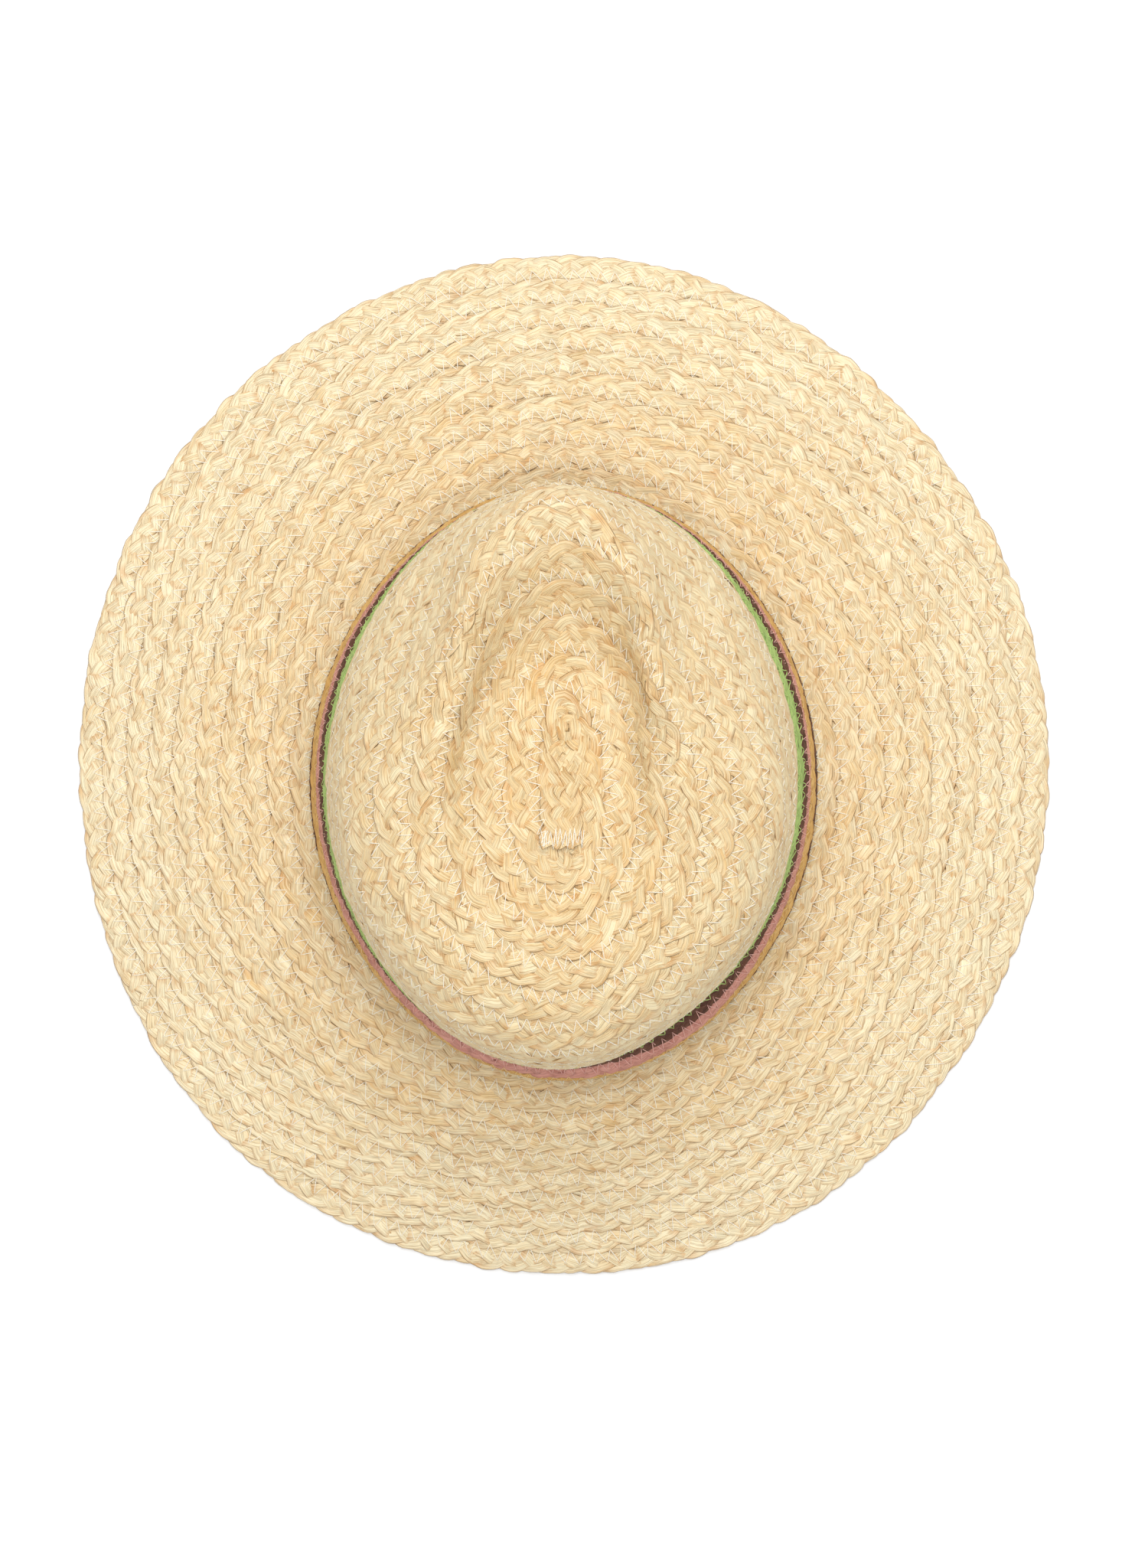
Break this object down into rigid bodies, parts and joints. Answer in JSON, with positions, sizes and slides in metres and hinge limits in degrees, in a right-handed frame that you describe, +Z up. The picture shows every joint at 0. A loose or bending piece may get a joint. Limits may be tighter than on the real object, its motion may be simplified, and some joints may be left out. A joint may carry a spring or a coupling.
{
  "type": "sewn straw hat",
  "caption": "Wide-brimmed sewn straw hat with a teardrop crown, a band of coloured plaits round the crown and a ribbon sweatband inside.",
  "frame": {"origin": "centre of the brim's outline on the surface that the hat rests on", "axes": "+Z up through the crown, -Y to the front of the hat, where the crown is pinched, +X to the wearer's left"},
  "size_m": [0.3529, 0.3701, 0.1182],
  "materials": {
    "natural_straw": "plaited natural raffia, satin",
    "green_straw": "plaited raffia dyed leaf green",
    "brown_straw": "plaited raffia dyed dark brown",
    "pink_straw": "plaited raffia dyed dusty pink",
    "mustard_straw": "plaited raffia dyed mustard",
    "sweatband_ribbon": "woven cotton ribbon, ribbed",
    "label_cloth": "plain woven tape, no print",
    "sewing_thread": "twisted sewing thread, cream"
  },
  "bodies": {
    "root": {"tip_start": "natural_straw", "crown_round_02": "natural_straw", "crown_round_03": "natural_straw", "crown_round_04": "natural_straw", "crown_round_05": "natural_straw", "crown_round_06": "natural_straw", "crown_round_07": "natural_straw", "crown_round_08": "natural_straw", "crown_round_09": "natural_straw", "crown_round_10": "natural_straw", "crown_round_11": "natural_straw", "brim_round_01": "natural_straw", "brim_round_02": "natural_straw", "brim_round_03": "natural_straw", "brim_round_04": "natural_straw", "brim_round_05": "natural_straw", "brim_round_06": "natural_straw", "brim_round_07": "natural_straw", "brim_round_08": "natural_straw", "brim_round_09": "natural_straw", "brim_edge_round": "natural_straw", "band_green": "green_straw", "band_dark_brown": "brown_straw", "band_pink": "pink_straw", "band_mustard": "mustard_straw", "band_lower_brown": "brown_straw", "sweatband": "sweatband_ribbon", "sweatband_join": "sweatband_ribbon", "blank_label": "label_cloth"}
  },
  "joints": []
}
